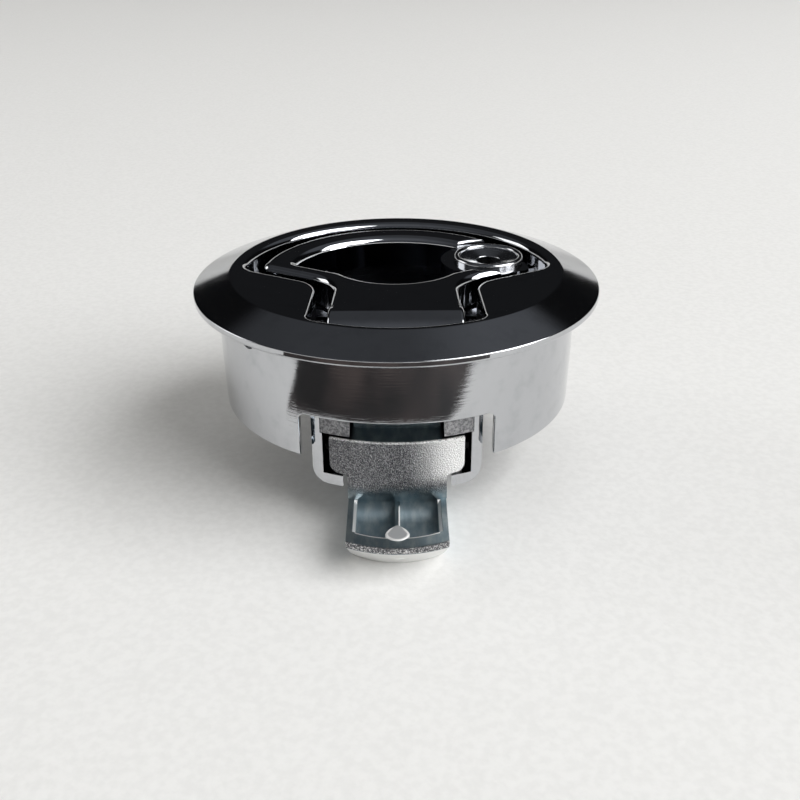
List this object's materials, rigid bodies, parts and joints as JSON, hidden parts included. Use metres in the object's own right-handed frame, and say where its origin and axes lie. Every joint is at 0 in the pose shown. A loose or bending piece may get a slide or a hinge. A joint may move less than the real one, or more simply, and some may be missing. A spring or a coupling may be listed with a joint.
{
  "type": "flush hatch latch",
  "caption": "Round flush slam latch for a hatch: a lift-up pull ring in a recessed bezel draws back a sprung bolt under the panel.",
  "frame": {"origin": "centre of the flange's seat on the panel", "axes": "+Z out of the panel, -Y the way the bolt points, +X to the right when the bolt faces the viewer"},
  "size_m": [0.06, 0.066, 0.0315],
  "materials": {
    "housing_chrome": "bright chrome plate on a zinc casting",
    "ring_chrome": "bright chrome plate on a zinc casting",
    "insert_chrome": "chrome plate with a turned rim",
    "pin_steel": "drawn steel",
    "spring_steel": "drawn spring wire",
    "bolt_casting": "sand-textured plated zinc casting"
  },
  "bodies": {
    "housing_body": {"housing": "housing_chrome", "hinge_pin": "pin_steel", "ring_spring_left": "spring_steel", "ring_spring_right": "spring_steel", "bolt_spring": "spring_steel"},
    "ring_body": {"pull_ring": "ring_chrome", "ring_insert": "insert_chrome"},
    "bolt_body": {"bolt": "bolt_casting"}
  },
  "joints": [
    {"name": "ring_lift", "type": "hinge", "parent": "housing_body", "child": "ring_body", "pos_m": [0, -0.017, -0.0015], "axis": [1, 0, 0], "range_deg": [0, 54], "stiffness_Nm_per_rad": 0.089, "springref_deg": -50.42, "deforming": ["ring_spring_left", "ring_spring_right"]},
    {"name": "bolt_slide", "type": "slide", "parent": "housing_body", "child": "bolt_body", "axis": [0, 1, 0], "range_m": [0, 0.0094], "deforming": ["bolt_spring"]}
  ],
  "couplings": [
    {"joint": "bolt_slide", "follows": "ring_lift", "m_per_rad": 0.009923}
  ]
}
